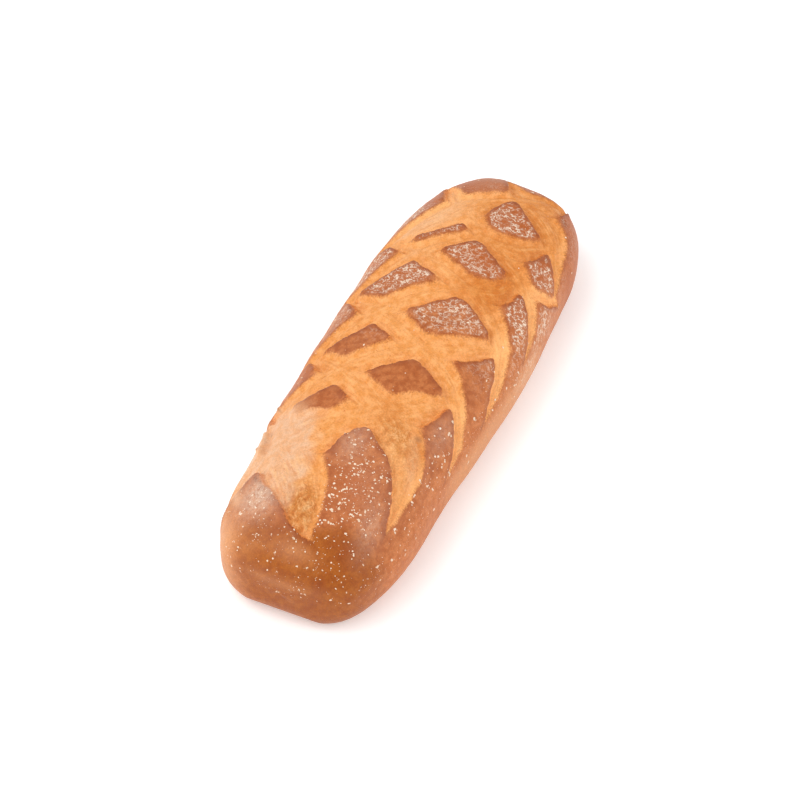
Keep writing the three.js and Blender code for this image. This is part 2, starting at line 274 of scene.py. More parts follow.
def torn_strands(run, offset, seed):
    """Long strands, and shorter ones among them, along one way of slashing."""
    long_strands = crust_noise(run / LONG_STRAND[0], offset / LONG_STRAND[1], seed)
    return long_strands + crust_noise(run / SHORT_STRAND[0], offset / SHORT_STRAND[1], seed + 1)


left_strands = torn_strands(left_run, left_offset, seed=3)
right_strands = torn_strands(right_run, right_offset, seed=5)
strands = (right_strands + (left_strands - right_strands) * left_share) / 2

# Some spots rise: a torn flap, the last big plate, and peaks of torn skin on the left. The grooves
# that were torn last, at the blunt end, are rougher.
RAISED_SPOTS = [
    dict(share=2.8, x=-106, g=-57, along=26, across=8, turn=0.5),
    dict(share=3, x=204, g=19, along=17, across=20),
]
TORN_PEAKS = [
    dict(x=-131, g=73, along=7, across=1.6, turn=0.9),
    dict(x=-117, g=68, along=5, across=1.4, turn=0.7),
    dict(x=-88, g=76, along=6, across=1.8, turn=0.8),
]
PEAK_RISE = 1.6
ROUGH_GROOVES = [
    dict(x=-184, g=2, along=24, across=15, turn=0.4),
    dict(share=0.7, x=-98, g=-34, along=24, across=15, turn=0.8),
]


def patch(x, g, along, across, turn=0.0, share=1.0):
    """`share` at the middle of an oval patch of the top, and less all around it."""
    cos, sin = math.cos(turn), math.sin(turn)
    ahead = (top_x - x) * cos + (top_g - g) * sin
    aside = (top_g - g) * cos - (top_x - x) * sin
    return share * (bell(ahead / along) * bell(aside / across))


def patches(ovals):
    """Several patches of the top added together."""
    return sum(patch(**oval) for oval in ovals)


# How far each kind of unevenness rises and falls, on the plates, in the grooves, and in the rough
# grooves, where wrinkled folds of dough cross one another.
SWELL = 0.8
SWELL_LOST_IN_GROOVES = 0.4
PLATE_CRUMBS = 0.12
GROOVE_STRANDS = 0.22
GROOVE_PITS = 0.1
GROOVE_CRUMBS = 0.22
ROUGH_STRANDS = 0.3
ROUGH_PITS = 0.35
ROUGH_FOLDS = 0.7
FOLD_SIZE = (6.5, 5)
FOLD_STEEPNESS = 2.4
FOLD_DRIFT = 4
FINE_FOLDS = 0.5

torn_peaks = patches(TORN_PEAKS)
rough = np.clip(patches(ROUGH_GROOVES) * opened, 0, 1)
pits = top_noise(lump=3.2, seed=21)
crumbly = top_noise(lump=6, seed=22)
swell = top_noise(lump=38, seed=23) * (1 - SWELL_LOST_IN_GROOVES * opened)
relief += PEAK_RISE * torn_peaks + patches(RAISED_SPOTS) + SWELL * swell
relief += opened * (GROOVE_STRANDS * strands + GROOVE_PITS * pits + GROOVE_CRUMBS * crumbly)
relief += (1 - opened) * PLATE_CRUMBS * crumbly
drift = FOLD_DRIFT * top_noise(lump=10, seed=24)
across_folds = crust_noise((top_x + drift) / FOLD_SIZE[0], (top_g - drift) / FOLD_SIZE[1], seed=25)
folds = 1 - FOLD_STEEPNESS * np.abs(across_folds) + FINE_FOLDS * top_noise(lump=2.6, seed=26)
relief += rough * (ROUGH_STRANDS * strands + ROUGH_PITS * pits + ROUGH_FOLDS * folds)

# The long sides swell and sink gently, more the lower they are. Side -1 is the right one.
SIDE_WAVES = [
    dict(x=-165, side=-1, rise=1.2, reach=28),
    dict(x=-92, side=-1, rise=-3.2, reach=34),
    dict(x=28, side=-1, rise=2, reach=40),
    dict(x=112, side=-1, rise=-2.4, reach=32),
    dict(x=-132, side=1, rise=-3, reach=30),
]
SIDE_WAVES_FROM = 0.45
side_share = np.repeat(np.abs(np.linspace(-1, 1, TOP_COLUMNS + 1))[None], STATIONS, axis=0)
for wave in SIDE_WAVES:
    on_side = smooth_step(SIDE_WAVES_FROM, 1, side_share) * (np.sign(top_g) == wave["side"])
    relief += wave["rise"] * bell((top_x - wave["x"]) / wave["reach"]) * on_side

# --------------------------------------------------------------------------
# The skin of the whole loaf, as one closed surface: over the top from the right side to the left,
# down the left side, under the base and up the right side, ring after ring from front to back.
# --------------------------------------------------------------------------
ring_y = np.concatenate([top_y, side_y, base_y, -side_y[:, ::-1]], axis=1)
ring_z = np.concatenate([top_z, side_z, base_z, side_z[:, ::-1]], axis=1)
COLUMNS = ring_y.shape[1]
ring_x = np.repeat((shares * LENGTH / 2)[:, None], COLUMNS, axis=1)
skin = np.stack([ring_x, ring_y, ring_z], axis=-1)

ends = np.array([[[-LENGTH / 2, 0, WIDEST_HEIGHT]], [[LENGTH / 2, 0, WIDEST_HEIGHT]]])
front_ring = np.repeat(ends[0][None], COLUMNS, axis=1)
back_ring = np.repeat(ends[1][None], COLUMNS, axis=1)
padded = np.concatenate([front_ring, skin, back_ring])
lengthways = padded[2:] - padded[:-2]
sideways = np.roll(skin, -1, axis=1) - np.roll(skin, 1, axis=1)
outward = np.cross(lengthways, sideways)
outward /= np.linalg.norm(outward, axis=-1, keepdims=True)


def around_the_ring(values, fade):
    """Spreads values of the top down both sides and under the base, times `fade` down a side."""
    left = values[:, -1:] * fade
    right = values[:, :1] * fade[::-1]
    under = np.repeat((left[:, -1:] + right[:, :1]) / 2, BASE_COLUMNS - 1, axis=1)
    return np.concatenate([values, left, under, right], axis=1)


risen = around_the_ring(relief, 1 - down)
skin = skin + outward * risen[..., None]
points = np.concatenate([skin.reshape(-1, 3), ends.reshape(-1, 3)])
box_low, box_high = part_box("loaf")
middle = (np.array(box_low) + np.array(box_high)) / 2 / MM
points[:, 0] += middle[0] - (points[:, 0].min() + points[:, 0].max()) / 2
points[:, 1] += middle[1] - (points[:, 1].min() + points[:, 1].max()) / 2
points[:, 2] -= points[:, 2].min()

column = np.arange(COLUMNS)
next_column = (column + 1) % COLUMNS
ring_start = (np.arange(STATIONS - 1) * COLUMNS)[:, None]
quads = np.stack(
    [
        ring_start + column,
        ring_start + COLUMNS + column,
        ring_start + COLUMNS + next_column,
        ring_start + next_column,
    ],
    axis=-1,
).reshape(-1, 4)
front_point = STATIONS * COLUMNS
last_ring = (STATIONS - 1) * COLUMNS
front_fan = [(front_point, int(a), int(b)) for a, b in zip(column, next_column)]
back_pairs = zip(last_ring + column, last_ring + next_column)
back_fan = [(front_point + 1, int(b), int(a)) for a, b in back_pairs]

crust_mesh = bpy.data.meshes.new("loaf_crust")
crust_mesh.from_pydata((points * MM).tolist(), [], quads.tolist() + front_fan + back_fan)
crust_mesh.polygons.foreach_set("use_smooth", np.ones(len(crust_mesh.polygons), dtype=bool))
loaf_crust = bpy.data.objects.new("loaf_crust", crust_mesh)
bpy.context.scene.collection.objects.link(loaf_crust)

# What each part of the crust went through: how far it opened, how much it browned, where flour stayed
# on it, and where a highlight is painted. Noise in large and small blots, of some millimetres, blurs the
# limits.
large_blots = top_noise(lump=22, seed=31)
small_blots = top_noise(lump=9, seed=32)
to_side = np.abs(top_g)
on_left = top_g > 0
on_right = top_g < 0
MEASURES = dict(x=top_x, g=top_g, side=to_side, inside=inside)


def zone(share=1.0, **limits):
    """`share` in a zone of the top, and nothing outside it. Each limit says where one measure
    starts to count and where it counts in full, in millimetres."""
    for measure, (start, stop) in limits.items():
        share = share * smooth_step(start, stop, MEASURES[measure])
    return share


still_shut = zone(inside=(-0.5, -3))

# Torn dough stayed pale where it opened widest: left of the first big plate, on the flap beside
# it, and at the back on the left.
BIG_PLATE_EDGE = dict(x=-150, g=12, slant=0.3)
PALE_PAST_PLATE = (-6, 9)
past_plate = top_g - BIG_PLATE_EDGE["g"]
past_plate = past_plate - BIG_PLATE_EDGE["slant"] * np.maximum(0, top_x - BIG_PLATE_EDGE["x"])
pale_front = smooth_step(*PALE_PAST_PLATE, past_plate + 4 * small_blots) * zone(x=(-66, -112))
pale_skin = np.maximum(pale_front, zone(0.6, inside=(3, 14), g=(5, 50), x=(60, 140)))
pale_flap = patch(share=0.45, x=-112, g=-55, along=26, across=6, turn=0.4) * opened
pale_skin = np.maximum(pale_skin, pale_flap)

# The pale skin goes on down the left side there, past the tip of the plate in front of it.
BARE_ACROSS = (34, 52)
BARE_FROM = (-190, -164)
BARE_UNTIL = (-82, -112)
BARE_SLANTS = (0.25, 0.5)
BARE_TURNS_AT = 60
PLATE_TIP_LIMIT = (0.6, 0.1)
from_turn = top_g - BARE_TURNS_AT
bare_start = top_x + 9 * large_blots - BARE_SLANTS[0] * from_turn
bare_stop = top_x + 9 * large_blots + BARE_SLANTS[1] * from_turn
bare_side = smooth_step(*BARE_ACROSS, top_g + 3 * small_blots) * (1 - zone(0.3, g=(74, 84)))
bare_side = bare_side * smooth_step(*BARE_FROM, bare_start) * smooth_step(*BARE_UNTIL, bare_stop)
plate_tip = patch(x=-174, g=42, along=18, across=16, turn=0.6)
bare_side = bare_side * smooth_step(*PLATE_TIP_LIMIT, plate_tip)

# Grooves browned more on the right of the back half, and at the blunt and the rounder end.
BROWNED_UNTIL = (18, -22)
BROWNED_SPOTS = [
    dict(share=0.75, x=76, g=-33, along=28, across=17),
    dict(share=0.3, x=-184, g=2, along=18, across=14, turn=0.4),
    dict(share=0.8, x=-100, g=-56, along=22, across=9, turn=0.4),
    dict(share=0.45, x=-78, g=-20, along=34, across=16, turn=0.6),
]
browned = smooth_step(*BROWNED_UNTIL, top_g + 6 * large_blots)
browned = browned * zone(0.6, x=(20, 110), g=(-70, -52)) + patches(BROWNED_SPOTS)
browned = np.maximum(np.clip(browned, 0, 1), zone(0.4, x=(196, 216)))

# They stayed brightest low on the right side, at the back on the left, and along the flap.
bright = np.maximum.reduce(
    [
        zone(0.75, g=(-54, -70), x=(150, 110)),
        zone(0.6, g=(14, 40), x=(90, 140)),
        patch(share=0.7, x=-120, g=-40, along=30, across=5, turn=0.62),
        patch(share=0.4, x=-152, g=-58, along=12, across=8),
    ]
)

# The blunt end has a cap of amber crust, darker in some places. A painted highlight lies around it,
# as a lighter band and patches, and low on the right side.
CAP_EDGE = -200
CAP_SOFTNESS = 7
EMBERS = [
    dict(share=0.7, x=-200, g=-42, along=12, across=13),
    dict(share=0.35, x=-206, g=14, along=7, across=14),
    dict(share=0.8, x=-226, g=-33, along=4, across=5),
]
cap_edge = CAP_EDGE + zone(13, g=(-8, -42)) - zone(9, g=(20, 44))
past_cap = top_x + 6 * large_blots + 2 * small_blots - cap_edge
amber_cap = smooth_step(CAP_SOFTNESS, -CAP_SOFTNESS, past_cap)
amber_cap = amber_cap * (1 - zone(0.7, g=(26, 52))) * (1 - zone(0.45, g=(-66, -90)))
ember = patches(EMBERS) * amber_cap

BAND_HEIGHT = 43
BAND_REACH = 5
BAND_FRONT = dict(share=0.25, x=-226, g=2, along=60, across=36)
BAND_LEFT = [
    dict(share=0.9, x=-217, g=54, along=14, across=16),
    dict(share=0.8, x=-200, g=70, along=18, across=13),
]
BAND_TOP = [
    dict(share=0.4, x=-217, g=-10, along=6, across=16),
    dict(share=0.3, x=-221, g=30, along=6, across=14),
]
band_front = bell((top_z - BAND_HEIGHT) / BAND_REACH) * patch(**BAND_FRONT) * zone(x=(-216, -226))
low_side = zone(0.75, g=(-86, -102), x=(-110, -70)) * zone(x=(90, 50))
painted_highlight = np.maximum.reduce([band_front, patches(BAND_LEFT), patches(BAND_TOP), low_side])

# The flanks start further up at the left of the cap, and hardly show far back on the right.
FLANK_DOWN = (60, 84)
flank = smooth_step(*FLANK_DOWN, to_side + 4 * small_blots + zone(26, x=(-200, -216)) * on_left)
flank = flank * (1 - zone(0.75, x=(112, 150)) * on_right)

# The plates are redder in the heart of the first one and all along the back half. A few tips of
# skin are scorched.
red_plate = patch(x=-154, g=-24, along=22, across=15, turn=0.3)
red_heart = still_shut * (red_plate + zone(0.85, x=(30, 60)))
scorch = np.maximum.reduce(
    [
        curled_corner * zone(0.5, x=(60, 100)),
        patch(share=0.7, x=-168, g=46, along=7, across=5, turn=0.8) * still_shut,
        patch(share=0.55, x=191, g=-52, along=9, across=7) * still_shut,
        patch(share=0.6, x=-88, g=-48, along=5, across=3, turn=1.0),
        0.6 * torn_peaks,
    ]
)

# Flour lies as a thin haze on the front plates, and was rubbed into the skin of the back ones.
HAZE_SPOTS = [
    dict(share=0.52, x=-183, g=38, along=18, across=16, turn=0.5),
    dict(share=0.18, x=-176, g=-50, along=22, across=9, turn=0.1),
    dict(share=0.22, x=-118, g=-8, along=18, across=10),
    dict(share=0.15, x=-72, g=-62, along=18, across=9),
    dict(share=0.1, x=-148, g=-30, along=30, across=16),
    dict(share=0.15, x=203, g=20, along=16, across=18),
]
haze = patches(HAZE_SPOTS) * (1 - opened)
RUBBED_UNTIL = (212, 194)
RUBBED_THIN_BACK = dict(share=0.7, limits=(172, 192), slant=0.5)
RUBBED_LOST_LOW = 0.85
RUBBED_LOW_SPOTS = [
    dict(x=88, g=-88, along=18, across=12),
    dict(share=0.6, x=48, g=-98, along=22, across=8),
]
rubbed = zone(x=(-30, 60)) * still_shut * (1 - zone(0.8, x=(150, 172), g=(8, 22)))
rubbed = rubbed * (1 - patch(share=0.6, x=104, g=-20, along=12, across=16))
rubbed = rubbed * (1 - patch(share=0.7, x=168, g=-90, along=24, across=14))
thin_back = smooth_step(*RUBBED_THIN_BACK["limits"], top_x - RUBBED_THIN_BACK["slant"] * top_g)
rubbed = rubbed * (1 - RUBBED_THIN_BACK["share"] * thin_back)
rubbed = rubbed * smooth_step(*RUBBED_UNTIL, top_x + 5 * large_blots)
bare_low = zone(side=(74, 90)) * (1 - patches(RUBBED_LOW_SPOTS))
rubbed = rubbed * (1 - RUBBED_LOST_LOW * bare_low)

ENDS_OUTSIDE = -20
INSIDE_LIMIT = 30
INSIDE_DROP = 14
BARE_SIDE_DOWN = (0, 0.4)
BARE_SIDE_SHARE = 0.7
side_depth = np.concatenate([down, np.ones(BASE_COLUMNS - 1), down[::-1]])


def mark_crust(name, *parts, fade=None, at_ends=(0, 0), drop=0):
    """Stores one value, or three, at every point of the crust, for its finish to read."""
    fade = np.ones(SIDE_COLUMNS) if fade is None else fade
    stored = []
    for part in parts:
        ring = around_the_ring(part, fade)
        ring[:, TOP_COLUMNS + 1 :] -= drop * side_depth
        stored.append(np.concatenate([ring.ravel(), at_ends]))
    layer = crust_mesh.attributes.new(name, "FLOAT" if len(parts) == 1 else "FLOAT_VECTOR", "POINT")
    values = np.stack(stored, axis=-1).astype(np.float32).ravel()
    layer.data.foreach_set("value" if len(parts) == 1 else "vector", values)


how_far_inside = np.clip(inside, ENDS_OUTSIDE, INSIDE_LIMIT)
unused = np.zeros(top_x.shape)
mark_crust("inside", how_far_inside, at_ends=(ENDS_OUTSIDE, ENDS_OUTSIDE), drop=INSIDE_DROP)
mark_crust("left_fibre", left_run, left_offset, unused)
mark_crust("right_fibre", right_run, right_offset, unused)
mark_crust("bare_side", bare_side, fade=BARE_SIDE_SHARE * (1 - smooth_step(*BARE_SIDE_DOWN, down)))
mark_crust("browned", browned, at_ends=(0, 1))
mark_crust("amber", amber_cap, at_ends=(1, 0))
down_to_base = dict(
    sharp=sharpness,
    left_share=left_share,
    pale_skin=pale_skin,
    bright=bright,
    ember=ember,
    flank=flank,
    red_heart=red_heart,
    rubbed=rubbed,
)
for name, values in down_to_base.items():
    mark_crust(name, values)
fading_down = dict(strand=strands * opened, rough=rough, fold=folds, painted_highlight=painted_highlight, scorch=scorch, haze=haze)
for name, values in fading_down.items():
    mark_crust(name, values, fade=1 - down)

# --------------------------------------------------------------------------
# The finish of the crust. Skin that stayed shut baked to a satin red-brown, amber at the blunt
# end. Torn dough in the grooves baked golden and stayed rough, and paler where it opened wide.
# --------------------------------------------------------------------------


def linear(red, green, blue):
    """A colour for a socket, from its 0 to 255 values as seen on a screen."""
    parts = [value / 255 for value in (red, green, blue)]
    return (*[p / 12.92 if p <= 0.04045 else ((p + 0.055) / 1.055) ** 2.4 for p in parts], 1)


# Colours in pairs are the darker and the lighter one of a mottled surface.
PLATE = (linear(166, 87, 39), linear(189, 111, 60))
RED_HEART = linear(175, 90, 35)
FLANK = (linear(185, 101, 44), linear(200, 120, 66))
AMBER = (linear(154, 76, 10), linear(168, 90, 19))
EMBER = linear(144, 66, 14)
# A painted highlight, laid around the cap and low on the right side.
HIGHLIGHT_COLOUR = linear(214, 147, 96)
UNDERSIDE = (linear(150, 98, 60), linear(196, 156, 116))
GOLD = (linear(226, 148, 75), linear(241, 169, 103))
DEEP_GOLD = (linear(202, 114, 38), linear(217, 136, 62))
BRIGHT_GOLD = linear(255, 188, 120)
PALE_DOUGH = (linear(225, 167, 121), linear(228, 180, 142))
FLOUR = linear(238, 218, 196)
FLOUR_IN_SHADE = linear(222, 194, 166)

# What is laid over those colours, and how strongly.
CREASE = (linear(196, 114, 46), 0.18)
THREAD = (linear(248, 192, 132), 0.14)
# Hollow and crest follow the strands' relief: partly the dough's own colour, partly painted shade in the
# hollows and painted highlight on the crests.
HOLLOW = (linear(204, 118, 50), 0.35)
CREST = (linear(252, 194, 130), 0.3)
DARK_WRINKLE = (linear(196, 112, 50), 0.6)
LIGHT_WRINKLE = (linear(252, 204, 146), 0.6)
FRECKLE = (linear(190, 104, 48), 0.75)
LIP_BROWN = (linear(134, 66, 38), 0.4)
# Painted shade, darkening a groove at the foot of a crisp edge.
GROOVE_FOOT_SHADE = (linear(206, 104, 30), 0.65)
SCORCHED = (linear(110, 62, 42), 0.6)


def add_node(tree, kind, sockets, **settings):
    """Adds a node, with its settings, and sets or joins its sockets. Gives its outputs."""
    made = tree.nodes.new("ShaderNode" + kind)
    for name, value in settings.items():
        setattr(made, name, value)
    for socket, value in sockets.items():
        if isinstance(value, bpy.types.NodeSocket):
            tree.links.new(value, made.inputs[socket])
        else:
            made.inputs[socket].default_value = value
    return made.outputs


def calculate(tree, operation, first, second=0.0):
    return add_node(tree, "Math", {0: first, 1: second}, operation=operation)[0]


def weigh(tree, value, factor):
    return calculate(tree, "MULTIPLY", value, factor)


def add_up(tree, first, second):
    return calculate(tree, "ADD", first, second)


def reverse(tree, value):
    return calculate(tree, "SUBTRACT", 1.0, value)


def stronger(tree, first, second):
    return calculate(tree, "MAXIMUM", first, second)


def swing(tree, value, size):
    """Noise between 0 and 1, turned into a push either way of up to half of `size`."""
    return weigh(tree, calculate(tree, "SUBTRACT", value, 0.5), size)


def ramp(tree, value, low, high):
    """0 below `low`, 1 above `high`, and a smooth step between."""
    sockets = {"Value": value, "From Min": low, "From Max": high}
    return add_node(tree, "MapRange", sockets, interpolation_type="SMOOTHSTEP")["Result"]


def spread(tree, value, low, high, start=0.0, stop=1.0):
    """Turns `start` to `stop` into `low` to `high`, along a straight line."""
    sockets = {"Value": value, "From Min": start, "From Max": stop, "To Min": low, "To Max": high}
    return add_node(tree, "MapRange", sockets)["Result"]


def mix_colours(tree, share, first, second, blend="MIX"):
    sockets = {0: share, 6: first, 7: second}
    return add_node(tree, "Mix", sockets, data_type="RGBA", blend_type=blend)[2]


def lay_over(tree, colour, share, tone, strength):
    """Lays a tone over a colour, as far as `share` goes and at most by `strength`."""
    return mix_colours(tree, weigh(tree, share, strength), colour, tone)


def grain_noise(tree, place, scale, detail=3.0, roughness=0.55):
    """Noise over the surface, with `scale` lumps to a millimetre."""
    sockets = {"Vector": place, "Scale": scale, "Detail": detail, "Roughness": roughness}
    return add_node(tree, "TexNoise", sockets)["Fac"]


def start_group(name, inputs, outputs):
    """An empty node group with its named inputs and outputs. Gives its two ends too."""
    group = bpy.data.node_groups.new(name, "ShaderNodeTree")
    for label, kind in inputs.items():
        group.interface.new_socket(label, in_out="INPUT", socket_type="NodeSocket" + kind)
    for label, kind in outputs.items():
        group.interface.new_socket(label, in_out="OUTPUT", socket_type="NodeSocket" + kind)
    given = group.nodes.new("NodeGroupInput").outputs
    return group, given, group.nodes.new("NodeGroupOutput").inputs


FIBRE_STRETCH = 0.12


def make_fibres():
    """Fine fibres along the two ways of slashing."""
    inputs = dict(left_fibre="Vector", right_fibre="Vector", left_share="Float")
    group, given, result = start_group("Torn fibres", inputs, dict(fibres="Float"))
    found = []
    for side in ("left_fibre", "right_fibre"):
        sockets = {0: given[side], 1: (FIBRE_STRETCH, 1.0, 1.0)}
        drawn_out = add_node(group, "VectorMath", sockets, operation="MULTIPLY")[0]
        found.append(grain_noise(group, drawn_out, scale=1.0, detail=4, roughness=0.6))
    sockets = {0: given["left_share"], 2: found[1], 3: found[0]}
    group.links.new(add_node(group, "Mix", sockets)[0], result["fibres"])
    return group


# What the baked colour, with its painted highlight and shade, reads from the crust.
PLATE_MARKS = ["inside", "sharp", "amber", "ember", "painted_highlight", "flank", "red_heart", "scorch"]
GROOVE_MARKS = ["strand", "rough", "fold", "pale_skin", "bare_side", "browned", "bright"]
UNDERSIDE_HEIGHT = (0.5, 4.0)
PALE_HIDES_CREASES = 0.75
EDGE_JITTER = 5.0
SOFT_REACH = 3.4
SHARP_REACH = 1.4
FINE_SHADE = (0.84, 1.1)


def make_baked_colour_and_painted_light():
    """How the crust browned: plates, golden grooves, pale swollen floors, cap and flanks, with painted
    highlight and shade.
    """
    marks = {name: "Float" for name in PLATE_MARKS + GROOVE_MARKS}
    inputs = dict(place="Vector", fibres="Float", **marks)
    group, given, result = start_group("Baked colour and painted light", inputs, dict(colour="Color", opened="Float"))
    fine = grain_noise(group, given["place"], scale=0.75, detail=5, roughness=0.6)
    middling = grain_noise(group, given["place"], scale=0.17, detail=4)
    broad = grain_noise(group, given["place"], scale=0.04, detail=2)
    mottle = ramp(group, middling, 0.36, 0.66)

    # The plates, with the redder heart of the big ones, the flanks, the amber cap and the base.
    plate = mix_colours(group, mottle, *PLATE)
    plate = mix_colours(group, given["red_heart"], plate, RED_HEART)
    plate = mix_colours(group, given["flank"], plate, mix_colours(group, mottle, *FLANK))
    plate = mix_colours(group, given["amber"], plate, mix_colours(group, mottle, *AMBER))
    plate = mix_colours(group, given["ember"], plate, EMBER)
    # Painted highlight: lighter around the blunt end and low on the right side.
    plate = mix_colours(group, given["painted_highlight"], plate, HIGHLIGHT_COLOUR)
    height = add_node(group, "SeparateXYZ", {0: given["place"]})["Z"]
    under = reverse(group, ramp(group, height, *UNDERSIDE_HEIGHT))
    plate = mix_colours(group, under, plate, mix_colours(group, mottle, *UNDERSIDE))

    # The floors of the grooves, streaked by their fibres and strands.
    gold = mix_colours(group, mottle, *GOLD)
    gold = mix_colours(group, given["browned"], gold, mix_colours(group, mottle, *DEEP_GOLD))
    gold = mix_colours(group, given["bright"], gold, BRIGHT_GOLD)
    pale = mix_colours(group, mottle, *PALE_DOUGH)
    gold = mix_colours(group, given["pale_skin"], gold, pale)
    crease = reverse(group, ramp(group, given["fibres"], 0.36, 0.52))
    smoothed = weigh(group, given["pale_skin"], PALE_HIDES_CREASES)
    gold = lay_over(group, gold, weigh(group, crease, reverse(group, smoothed)), *CREASE)
    gold = lay_over(group, gold, ramp(group, given["fibres"], 0.54, 0.68), *THREAD)
    # The hollows between strands are darker and their crests lighter: partly the dough's own colour,
    # partly painted shade and painted highlight.
    hollow = ramp(group, weigh(group, given["strand"], -1.0), 0.0, 0.6)
    gold = lay_over(group, gold, hollow, *HOLLOW)
    gold = lay_over(group, gold, ramp(group, given["strand"], 0.1, 0.7), *CREST)

    # Wrinkled where they are rough, and freckled with brown in clusters.
    wrinkle = add_up(group, given["fold"], swing(group, fine, 2.5))
    dark_wrinkle = reverse(group, ramp(group, wrinkle, -0.7, 0.3))
    gold = lay_over(group, gold, weigh(group, given["rough"], dark_wrinkle), *DARK_WRINKLE)
    light_wrinkle = ramp(group, wrinkle, 0.5, 1.2)
    gold = lay_over(group, gold, weigh(group, given["rough"], light_wrinkle), *LIGHT_WRINKLE)
    speckle = grain_noise(group, given["place"], scale=0.42, detail=4, roughness=0.75)
    cluster = ramp(group, broad, 0.42, 0.62)
    gold = lay_over(group, gold, weigh(group, ramp(group, speckle, 0.58, 0.68), cluster), *FRECKLE)

    # The edge between the two: crisp on one side of a slash, with a darker brown line along the plate's
    # edge, and drawn out on the other. Painted shade darkens the groove at the foot of the crisp edge.
    jitter = swing(group, fine, EDGE_JITTER)
    edge = add_up(group, given["inside"], jitter)
    reach = spread(group, given["sharp"], SOFT_REACH, SHARP_REACH)
    opened = ramp(group, edge, -0.4, reach)
    lip = weigh(group, ramp(group, edge, -5.5, -0.5), given["sharp"])
    plate = lay_over(group, plate, lip, *LIP_BROWN)
    # Painted shade at the foot of the crisp edge, where the groove's wall meets its floor.
    foot_shade = weigh(group, reverse(group, ramp(group, edge, 0.5, 4.0)), given["sharp"])
    gold = lay_over(group, gold, foot_shade, *GROOVE_FOOT_SHADE)
    colour = mix_colours(group, opened, plate, gold)
    colour = mix_colours(group, given["bare_side"], colour, pale)
    singed = add_up(group, given["scorch"], weigh(group, jitter, 0.05))
    colour = lay_over(group, colour, ramp(group, singed, 0.15, 0.75), *SCORCHED)
    shade = spread(group, fine, *FINE_SHADE, start=0.32, stop=0.68)
    shade = add_node(group, "CombineXYZ", {0: shade, 1: shade, 2: shade})[0]
    colour = mix_colours(group, 1.0, colour, shade, blend="MULTIPLY")
    group.links.new(colour, result["colour"])
    group.links.new(opened, result["opened"])
    return group


WRINKLE_PUSH = 6.0
WRINKLE_STRETCH = (1.15, 0.6, 0.9)
WRINKLES_PER_MM = 0.27
NET_STRENGTH = 0.92
VEIL_STRENGTH = 0.06
SIDE_SPECK_STRENGTH = 0.55
HAZE_SPECK_STRENGTH = 1.6


def make_flour_dust():
    """Flour left on the skin: a thin haze, fine specks, and flour caught in a net of wrinkles."""
    inputs = dict(place="Vector", haze="Float", rubbed="Float", flank="Float")
    group, given, result = start_group("Flour dust", inputs, dict(dust="Float"))
    cloud = grain_noise(group, given["place"], scale=0.1)
    speck = grain_noise(group, given["place"], scale=1.1, detail=2, roughness=0.5)
    smear = grain_noise(group, given["place"], scale=0.35, detail=5, roughness=0.7)
    thin = weigh(group, given["haze"], ramp(group, smear, 0.15, 0.65))
    haze_speck = weigh(group, ramp(group, speck, 0.6, 0.66), HAZE_SPECK_STRENGTH)
    thin = stronger(group, thin, weigh(group, given["haze"], haze_speck))
    side_speck = weigh(group, ramp(group, speck, 0.68, 0.72), given["flank"])
    thin = stronger(group, thin, weigh(group, side_speck, SIDE_SPECK_STRENGTH))

    # The wrinkles are the borders of small cells, pushed about so that no cell is regular.
    push = add_node(group, "TexNoise", {"Vector": given["place"], "Scale": 0.35, "Detail": 4.0})
    push = add_node(group, "VectorMath", {0: push["Color"], 1: (0.5, 0.5, 0.5)}, operation="SUBTRACT")
    push = add_node(group, "VectorMath", {0: push[0], "Scale": WRINKLE_PUSH}, operation="SCALE")
    cells = add_node(group, "VectorMath", {0: given["place"], 1: push[0]}, operation="ADD")
    cells = add_node(group, "VectorMath", {0: cells[0], 1: WRINKLE_STRETCH}, operation="MULTIPLY")
    sockets = {"Vector": cells[0], "Scale": WRINKLES_PER_MM}
    border = add_node(group, "TexVoronoi", sockets, feature="DISTANCE_TO_EDGE")["Distance"]
    grit = swing(group, grain_noise(group, given["place"], scale=0.9), 0.35)
    net = reverse(group, ramp(group, add_up(group, border, grit), 0.02, 0.15))
    gaps = grain_noise(group, given["place"], scale=0.28, detail=4, roughness=0.7)
    net = weigh(group, net, ramp(group, gaps, 0.4, 0.54))
    amount = weigh(group, given["rubbed"], ramp(group, cloud, 0.32, 0.48))
    dust = stronger(group, thin, weigh(group, weigh(group, net, amount), NET_STRENGTH))
    dust = stronger(group, dust, weigh(group, amount, VEIL_STRENGTH))
    group.links.new(dust, result["dust"])
    return group


# How high each grain stands, in millimetres, on shut skin, in grooves and in rough grooves.
SKIN_GRAIN = dict(pitted=0.24, tiny=0.07)
TORN_GRAIN = dict(pitted=0.3, tiny=0.1, fibres=0.25)
ROUGH_GRAIN = dict(fibres=1.4, pitted=1.6)
DUST_GRAIN = 0.2
SKIN_ROUGHNESS = 0.45
TORN_ROUGHNESS = 0.6
AMBER_GLOSS = 0.1
DUST_ROUGHNESS = 0.3


